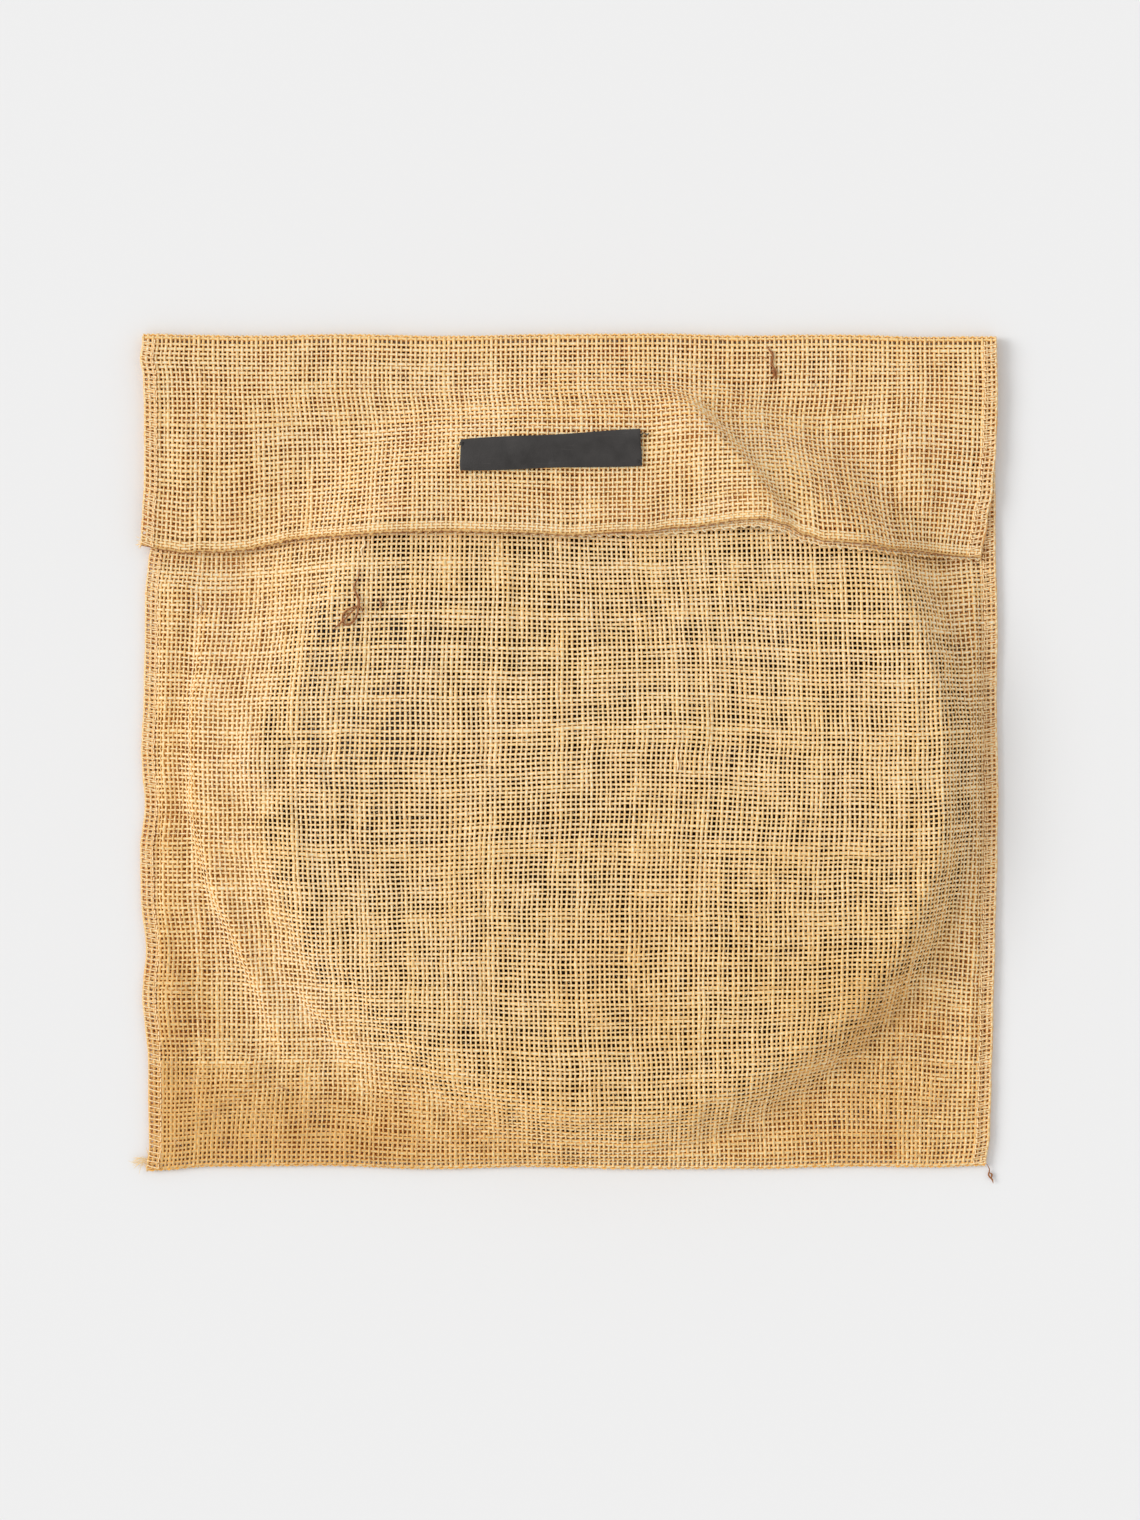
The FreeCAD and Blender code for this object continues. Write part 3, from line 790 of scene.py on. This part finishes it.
outerLayer = Layer(sheetPoints(columnPlaces, flapRows, outerPlace, outerLevel), 0, 22)
innerLayer = Layer(sheetPoints(columnPlaces, flapRows, innerPlace, innerLevel), 1, 23)
flapCount = len(flapRows)
outerLayer.closeBand(1, 3.0, 0.9)
innerLayer.closeBand(2, -0.4, 1.05)
edgeRows = 4  # the inner layer's first rows show under the outer one
outerAcross = outerLayer.across("flap_outer_across", (0, flapCount), shown)
outerAlong = outerLayer.along("flap_outer_along", allColumns, (0, flapCount), shown, weave["outerLoops"])
innerEdgeAcross = innerLayer.across("flap_inner_edge_across", (0, edgeRows), shown)
innerEdgeAlong = innerLayer.along("flap_inner_edge_along", allColumns, (0, edgeRows + 1), shown,
                                  weave["innerLoops"])
innerAcross = innerLayer.across("flap_inner_across", (edgeRows, flapCount), inside)
innerAlong = innerLayer.along("flap_inner_along", allColumns, (edgeRows, flapCount), inside)
selvedgeRun = outerLayer.points[0] + np.array([0, -0.6, 0.15]) * mm
selvedgeYarn = thread("mouth_selvedge_yarn", [selvedgeRun], 0.5 * mm, brownJute, 5, 0.3, tone=-0.3)
print("flap woven")


def foldLayer(radius, rowCount, seed):
    # from the body's last row, round the top fold, to the flap's last row
    angles = [math.pi * (i + 0.5) / rowCount for i in range(rowCount)]
    start = bodyPlace(columnPlaces, np.full(len(columnPlaces), topY - weave["foldStart"]))
    low = stacked(*start, hingeZ - radius)
    high = stacked(*start, hingeZ + radius)
    arc = turnPoints(columnPlaces, radius, topY, hingeZ, angles, bodyPlace)
    return Layer(np.concatenate([low[None], arc, high[None]]), 0, seed)


outerRadius = hingeZ - weave["halfCloth"]
innerRadius = outerRadius - weave["layerStep"]
foldOuter = foldLayer(outerRadius, 4, 24)
foldInner = foldLayer(innerRadius, 2, 25)
foldOuterAcross = foldOuter.across("fold_outer_across", (1, 5), shown)
foldOuterAlong = foldOuter.along("fold_outer_along", allColumns, (0, 6), shown)
foldInnerAcross = foldInner.across("fold_inner_across", (1, 3), inside)
foldInnerAlong = foldInner.along("fold_inner_along", allColumns, (0, 4),
                                 dict(inside, width=weave["yarnWidth"]))
print("folds woven")


# side seams: overlock thread over the cut edges and a row of needle stitches inside it
seam = dict(step=2.5 * mm, thread=0.55 * mm, needle=0.6 * mm, needleInset=5.6 * mm, loopInset=2.6 * mm,
            overEdge=0.35 * mm, edgeTurn=0.5 * mm, proud=0.45 * mm, lowest=0.45 * mm, stitchGap=0.25)


def overlock(name, side, yLow, yHigh, place, lowLevel, highLevel, seed):
    # the thread goes in at the needle line on top, over the edge and back in underneath
    source = np.random.default_rng(seed)
    loops, needle = [], []
    step, proud = seam["step"], seam["proud"] + weave["yarnThickness"] / 2
    xIn, xLoop = side * (cutX - seam["needleInset"]), side * (cutX - seam["loopInset"])
    xOut = side * (cutX + seam["overEdge"])
    xTurn = xOut - side * seam["edgeTurn"]
    y = yLow
    while y < yHigh:
        lean = step * source.uniform(0.35, 0.65)
        jog = source.uniform(-0.25, 0.25, 3) * mm
        route = [(xIn, y, 1), (xLoop, y + lean * 0.5, 1), (xTurn, y + lean, 1), (xOut, y + lean + jog[0], 0),
                 (xTurn, y + lean * 1.2, -1), (xLoop, y + lean * 1.5, -1), (xIn, y + step, -1)]
        line = []
        for px, py, height in route:
            qx, qy = place(np.array([px]), np.array([py]))
            flatX = np.clip(qx, -seamX, seamX)
            low, high = lowLevel(flatX, qy)[0], highLevel(flatX, qy)[0]
            middle = (low + high) / 2
            z = max(middle + height * (high - middle + proud), seam["lowest"])
            line.append((qx[0] + jog[1], qy[0] + jog[2], z))
        loops += line
        startX, startY, startZ = line[0]
        needle.append([line[0], (startX, startY + step * (0.5 - seam["stitchGap"] / 2), startZ + 0.25 * mm),
                       (startX + jog[1] * 0.3, startY + step * (1 - seam["stitchGap"]), startZ - 0.3 * mm)])
        y += step * source.uniform(0.9, 1.1)
    edge = thread(name + "_overlock_thread", [loops], seam["thread"], seamJute, 4, tone=-0.6)
    row = thread(name + "_needle_row", needle, seam["needle"], seamJute, 5, tone=-0.6)
    return [edge, row]


bodySeams, flapSeams = [], []
for sideName, side in (("left", -1), ("right", 1)):
    bodySeams.append(overlock(sideName, side, bottomY, topY, bodyPlace, backLevel, frontLevel, 31))
    flapSeams.append(overlock("flap_" + sideName, side, mouthY, topY, outerPlace, innerLevel, outerLevel, 32))
print("seams sewn")


# the leather label: tapers a little, two of its corners lift and one crease crosses its lower half
label = dict(corner=[(-52.0, 133.8), (34.5, 136.3), (34.1, 153.6), (-52.1, 148.8)], thickness=1.3 * mm,
             lift=1.05 * mm, cornerCurl=1.3 * mm, curlEnds=5, curlSides=1.1, crease=0.35 * mm,
             buckle=0.12 * mm, across=64, along=16, bevel=0.35 * mm)


def leatherMaterial():
    material, tree, shader = newMaterial("blackLeather")
    place = objectPlace(tree)
    grain = made(tree, "ShaderNodeTexVoronoi", {"Vector": place, "Scale": 1500.0}, feature="F1")
    clouds = noise(tree, place, 90.0, 3.0, 0.6)
    scuffs = noise(tree, mapped(tree, place, Scale=(60, 900, 300)), 1.0, 4.0, 0.65)
    base = mixed(tree, ranged(tree, clouds, 0.3, 0.7), (0.018, 0.0155, 0.014), (0.032, 0.028, 0.026))
    base = mixed(tree, ranged(tree, scuffs, 0.62, 0.8, 0.0, 0.5), base, (0.075, 0.066, 0.062))
    height = sums(tree, "MULTIPLY_ADD", clouds, 1.5, grain)
    fill(tree, shader, {"Base Color": base, "Roughness": ranged(tree, clouds, 0.3, 0.7, 0.42, 0.6),
                        "Normal": bumped(tree, height, 0.3, 0.0002)})
    return material


def makeLabel():
    a, b, c, d = [np.array(p) * mm for p in label["corner"]]
    u, v = np.meshgrid(np.linspace(0, 1, label["across"]), np.linspace(0, 1, label["along"]), indexing="ij")
    u1, v1 = u[..., None], v[..., None]
    plan = (a * (1 - u1) + b * u1) * (1 - v1) + (d * (1 - u1) + c * u1) * v1
    # cut edges of leather are never quite straight
    x = plan[..., 0] + 0.2 * mm * np.sin(v * 5.0 + 1) * (u - 0.5) * 2
    y = plan[..., 1] + 0.25 * mm * np.sin(u * 9.0) * (v - 0.5) * 2
    # the lower left and upper right corners curl up
    curl = sum(np.clip(1 - np.hypot(fromEnd * label["curlEnds"], fromSide * label["curlSides"]), 0, 1) ** 2
               for fromEnd, fromSide in ((u, v), (1 - u, 1 - v)))
    crease = np.exp(-(((u - 0.5) * 86 - (v - 0.5) * 5) / 1.2) ** 2) * smooth((0.6 - v) / 0.5)
    z = outerLevel(x, y) + label["lift"] + label["cornerCurl"] * curl - label["crease"] * crease
    z = z + label["buckle"] * np.sin(u * 23) * np.sin(v * 4)
    obj = gridMesh("leather_label", x, y, z)
    obj.data.materials.append(leatherMaterial())
    solid = obj.modifiers.new("thickness", "SOLIDIFY")
    solid.thickness, solid.offset = label["thickness"], 1.0
    rounded = obj.modifiers.new("edges", "BEVEL")
    rounded.width, rounded.segments, rounded.angle_limit = label["bevel"], 2, math.radians(50)
    graph = bpy.context.evaluated_depsgraph_get()
    mesh = bpy.data.meshes.new_from_object(obj.evaluated_get(graph))
    obj.modifiers.clear()
    obj.data = mesh
    for polygon in mesh.polygons:
        polygon.use_smooth = True
    mesh.set_sharp_from_angle(angle=math.radians(40))
    return obj


labelPiece = makeLabel()


def onCloth(points, level, rise):
    # plan points in mm laid on the cloth, each with its own rise over it
    x, y = np.array(points).T * mm
    return stacked(x, y, level(x, y) + np.array(rise) * mm)


def blackThreadMaterial():
    material, tree, shader = newMaterial("blackThread")
    place = objectPlace(tree)
    lint = noise(tree, place, 2600.0, 2.0)
    base = mixed(tree, ranged(tree, lint, 0.3, 0.7), (0.012, 0.011, 0.010), (0.045, 0.040, 0.036))
    fill(tree, shader, {"Base Color": base, "Roughness": 0.7})
    return material


blackThread = blackThreadMaterial()
tackRuns = []
for x, y, dx, dy in ((-51.5, 147.2, -2.4, 0.3), (-49.9, 136.0, -2.0, -2.0), (33.3, 150.6, 2.3, 0.4),
                     (33.4, 138.0, 2.2, -0.7)):
    for part in range(3):
        sx, sy = x + 0.5 * (part - 1) * dy, y + 0.6 * (part - 1)
        tackRuns.append(onCloth([(sx - dx * 0.5, sy - dy * 0.5), (sx, sy), (sx + dx * 0.5, sy + dy * 0.5)],
                                outerLevel, [2.2, 2.9, 1.0]))
tackRuns.append(onCloth([(34.0, 150.8), (35.6, 151.9), (37.0, 150.9), (37.8, 151.8)], outerLevel,
                        [2.6, 2.2, 1.8, 1.6]))
labelTacks = thread("label_tack_threads", tackRuns, 0.5 * mm, blackThread, 5)
print("label sewn on")


# loose ends: the knotted brown yarn, the brown yarn end on the flap, the tail and the frayed corners
knotPath = onCloth([(-100.4, 88.0), (-101.0, 83.0), (-103.2, 78.6), (-100.8, 72.6), (-101.0, 67.4),
                    (-103.0, 62.4), (-107.6, 60.6), (-108.4, 65.2), (-104.8, 68.4), (-100.2, 69.4),
                    (-98.6, 66.0)],
                   frontLevel, [1.0, 1.5, 1.1, 1.6, 2.0, 1.5, 1.3, 1.5, 1.8, 2.4, 1.4])
knotTurn = onCloth([(-99.8, 70.6), (-103.6, 67.2), (-107.2, 63.4), (-110.6, 60.4), (-112.8, 58.6)],
                   frontLevel, [1.2, 2.4, 2.6, 1.8, 1.0])
knotTwig = onCloth([(-91.2, 73.4), (-90.0, 70.4), (-90.8, 68.4)], frontLevel, [0.9, 1.3, 0.9])
knottedYarn = thread("knotted_brown_yarn", [knotPath, knotTurn, knotTwig], 0.95 * mm, brownJute, 7, 0.3,
                     tone=0.35, taper=True)
palePath = onCloth([(-98.6, 103.0), (-98.0, 99.0), (-99.8, 96.8), (-99.2, 93.4)], frontLevel,
                   [1.0, 1.3, 1.1, 1.0])
paleLong = onCloth([(51.8, 2.0), (51.2, -2.6), (51.9, -6.4), (51.2, -9.8)], frontLevel, [1.0, 1.3, 1.2, 0.9])
paleEnds = thread("pale_yarn_ends", [palePath, paleLong], 0.9 * mm, paleJute, 6, 0.3, tone=-0.4, taper=True)
slubPath = onCloth([(95.2, 195.6), (98.2, 191.4), (97.4, 187.2), (99.8, 183.2), (99.0, 179.0)], outerLevel,
                   [0.9, 1.3, 1.5, 1.3, 0.9])
slubTwig = onCloth([(96.2, 189.6), (93.0, 190.6)], outerLevel, [1.2, 1.2])
slubBlob = onCloth([(97.2, 184.8), (98.8, 182.8), (98.4, 180.2)], outerLevel, [1.2, 1.6, 1.2])
flapSlub = thread("flap_brown_slub", [slubPath, slubTwig, slubBlob], 1.2 * mm, brownJute, 6, 0.4, tone=0.5,
                  taper=True)


def tuft(name, root, direction, spread, count, length, material, z):
    source = np.random.default_rng(len(name))
    runs = []
    for _ in range(count):
        angle = math.atan2(direction[1], direction[0]) + source.normal(0, spread)
        reach = length * source.uniform(0.5, 1.0)
        start = np.array([root[0] + source.normal(0, 0.9), root[1] + source.normal(0, 0.9)])
        bend = source.normal(0, 0.25)
        run = []
        for t in (0.0, 0.35, 0.7, 1.0):
            turned = angle + bend * t
            spot = start + reach * t * np.array([math.cos(turned), math.sin(turned)])
            run.append((spot[0] * mm, spot[1] * mm, z * mm * (1 - 0.6 * t) + 0.35 * mm))
        runs.append(run)
    return thread(name, runs, 0.30 * mm, material, 4, 0.3, tone=0.25, taper=True)


cornerTuft = tuft("corner_frayed_tuft", (-204.5, -197.2), (-1.0, -0.25), 0.62, 20, 9.0, alongJute, 1.6)
mouthTuft = tuft("mouth_frayed_tuft", (-206.0, 101.5), (-0.9, -0.6), 0.5, 14, 4.0, seamJute, 5.0)
tailPath = np.array([(202.0, -199.5, 1.4), (203.4, -202.4, 1.1), (203.0, -205.2, 0.8), (204.8, -207.4, 0.8),
                     (205.2, -209.2, 0.9)]) * mm
tailBend = np.array([(203.2, -203.8, 0.9), (204.6, -204.9, 0.7), (204.2, -207.2, 0.7)]) * mm
threadTail = thread("corner_thread_end", [tailPath, tailBend], 0.9 * mm, brownJute, 6, 0.35, tone=-0.2,
                    taper=True)
print("loose ends laid")


# single fibres that stand out of the yarns, and a few dark ones that lie on the cloth
fibres = dict(front=2600, flap=900, shortest=2.5, longest=7.0, width=0.09 * mm)


def scattered(name, count, xRange, yRange, level, seed):
    source = np.random.default_rng(seed)
    x, y = source.uniform(*xRange, count), source.uniform(*yRange, count)
    heading = source.uniform(0, 2 * math.pi, count)
    bend = source.normal(0, 0.7, count)
    reach = source.uniform(fibres["shortest"], fibres["longest"], count)
    lift = source.uniform(0.1, 0.9, count)
    stations = []
    for t in (0.0, 0.33, 0.66, 1.0):
        turned = heading + bend * t
        px = x * mm + reach * t * np.cos(turned) * mm
        py = y * mm + reach * t * np.sin(turned) * mm
        height = level(px, py) + (0.55 + lift * math.sin(math.pi * (0.15 + 0.7 * t))) * mm
        stations.append(stacked(px, py, height))
    return thread(name, np.stack(stations, axis=1), fibres["width"], paleJute, 3, 0.1)


frontFuzz = scattered("front_loose_fibres", fibres["front"], (-196, 196), (-192, 92), frontLevel, 51)
flapFuzz = scattered("flap_loose_fibres", fibres["flap"], (-196, 190), (108, 190), outerLevel, 52)
darkRuns = [onCloth(p, frontLevel, 1.2) for p in (
    [(-180.2, 71.6), (-177.6, 69.8), (-178.2, 67.2), (-180.0, 66.0)],
    [(-141.0, -161.6), (-138.4, -162.6), (-135.6, -164.4)],
    [(195.8, 92.4), (197.0, 90.8), (196.4, 89.6)], [(-107.6, 28.4), (-106.4, 27.6), (-106.0, 26.8)])]
darkFibres = thread("dark_loose_fibres", darkRuns, 0.32 * mm, brownJute, 4, 0.2, tone=0.9)
print("fibres scattered")


# the dish keeps its imported shape; its dark glaze is mottled and half gloss, with a paler grey-blue patch at
# one side that is painted reflection of the light
glaze = dict(paintedReflectionAt=(2.1, -0.45, 0.0), paintedReflectionSize=(20.0, 13.0, 0.0), paintedReflectionColour=(0.10, 0.105, 0.12),
             specular=0.09)


def glazeMaterial():
    material, tree, shader = newMaterial("darkGlaze")
    place = objectPlace(tree)
    clouds = noise(tree, place, 22.0, 4.0, 0.55)
    specks = noise(tree, place, 700.0, 2.0)
    base = mixed(tree, ranged(tree, clouds, 0.35, 0.65), (0.014, 0.006, 0.003), (0.024, 0.012, 0.006))
    # painted reflection: a paler grey-blue patch on the glaze at one side, where the light's reflection falls
    paintedReflection = mapped(tree, place, Location=glaze["paintedReflectionAt"], Scale=glaze["paintedReflectionSize"])
    paintedReflection = addNode(tree, "ShaderNodeVectorMath", {0: paintedReflection}, operation="LENGTH").outputs["Value"]
    paintedReflection = sums(tree, "MULTIPLY", ranged(tree, paintedReflection, 0.0, 1.0, 1.0, 0.0),
                ranged(tree, clouds, 0.3, 0.6, 0.4, 1.0))
    base = mixed(tree, paintedReflection, base, glaze["paintedReflectionColour"])
    base = mixed(tree, ranged(tree, specks, 0.66, 0.74, 0.0, 0.6), base, (0.05, 0.045, 0.042))
    fill(tree, shader, {"Base Color": base, "Roughness": ranged(tree, clouds, 0.3, 0.7, 0.40, 0.55),
                        "Specular IOR Level": glaze["specular"],
                        "Normal": bumped(tree, clouds, 0.15, 0.0004)})
    return material


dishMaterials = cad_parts["dish"].data.materials
dishMaterials.clear()
dishMaterials.append(glazeMaterial())

# what rides on what
sackPieces = [frontAcrossLow, frontAcrossHigh, frontAcrossHidden, frontAlongLeft, frontAlongRight,
              frontAlongHidden, backAcrossLow, backAcrossHigh, backAlongLeft, backAlongRight, bottomAcross,
              bottomAlong, knottedYarn, cornerTuft, threadTail, frontFuzz, darkFibres, paleEnds,
              *bodySeams[0], *bodySeams[1]]
flapPieces = [outerAcross, outerAlong, innerAcross, innerAlong, innerEdgeAcross, innerEdgeAlong, selvedgeYarn,
              labelPiece, labelTacks, flapSlub, mouthTuft, flapFuzz, *flapSeams[0], *flapSeams[1]]
for piece in sackPieces:
    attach(piece, "sack")
for piece in flapPieces:
    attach(piece, "flap")
for piece in (foldOuterAcross, foldOuterAlong):
    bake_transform(piece)
for piece in (foldInnerAcross, foldInnerAlong):
    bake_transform(piece)

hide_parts("front_panel")
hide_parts("back_panel", "bottom_fold", "left_seam", "right_seam")
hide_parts("flap_outer", "outer_selvedge", "flap_left_seam", "flap_right_seam")
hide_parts("flap_inner", "inner_selvedge")
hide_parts("fold_outer")
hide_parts("fold_inner")
for prefix, seams in (("", bodySeams), ("flap_", flapSeams)):
    for sideName, (edge, row) in zip(("left", "right"), seams):
        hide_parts(prefix + sideName + "_overlock")
        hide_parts(prefix + sideName + "_stitching")
for piece, node in ((labelPiece, "label"), (labelTacks, "label_tacks"), (knottedYarn, "knotted_yarn"),
                    (flapSlub, "flap_yarn_end"), (threadTail, "corner_thread_tail"),
                    (cornerTuft, "corner_tuft"), (mouthTuft, "mouth_corner_tuft")):
    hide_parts(node)


# floor, light and camera
studio = dict(floorColour=0.80, floorReach=6.0, ambient=0.865, keyStrength=1.78, keyElevation=33,
              keyHeading=172, keyAngle=30, zenithDim=0.3, zenithFrom=0.86, zenithTo=0.985)


def makeFloor():
    lowest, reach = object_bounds()[0][2], studio["floorReach"]
    x, y = np.meshgrid([-reach, reach], [-reach, reach], indexing="ij")
    obj = gridMesh("floor", x, y, 0.0 * x)
    obj.location.z = lowest
    material, tree, shader = newMaterial("paleFloor")
    fill(tree, shader, {"Base Color": (*[studio["floorColour"]] * 3, 1), "Roughness": 0.95,
                        "Specular IOR Level": 0.0})
    obj.data.materials.append(material)


makeFloor()
world = bpy.data.worlds.new("studio")
world.use_nodes = True
# the light comes from the sides of the studio; straight above it is dim, where the camera hangs
sky = world.node_tree
upward = addNode(sky, "ShaderNodeSeparateXYZ", {0: addNode(sky, "ShaderNodeTexCoord").outputs["Generated"]})
above = ranged(sky, upward.outputs[2], studio["zenithFrom"], studio["zenithTo"], studio["ambient"],
               studio["ambient"] * studio["zenithDim"])
fill(sky, sky.nodes["Background"], {"Color": (1, 1, 1, 1), "Strength": above})
bpy.context.scene.world = world
keyLamp = bpy.data.lights.new("keyLight", "SUN")
keyLamp.energy = studio["keyStrength"]
keyLamp.angle = math.radians(studio["keyAngle"])
keyObject = linked("keyLight", keyLamp)
keyObject.rotation_euler = (0, math.radians(90 - studio["keyElevation"]), math.radians(studio["keyHeading"]))

view = dict(lens=100, sensor=36, centre=(0.24 * mm, -4.1 * mm), height=2.046, farthest=50)
cameraData = bpy.data.cameras.new("camera")
cameraData.lens = view["lens"]
cameraData.sensor_width = view["sensor"]
cameraData.clip_end = view["farthest"]
camera = linked("camera", cameraData)
camera.location = (*view["centre"], view["height"])
bpy.context.scene.camera = camera
bpy.context.scene.view_settings.view_transform = "Standard"
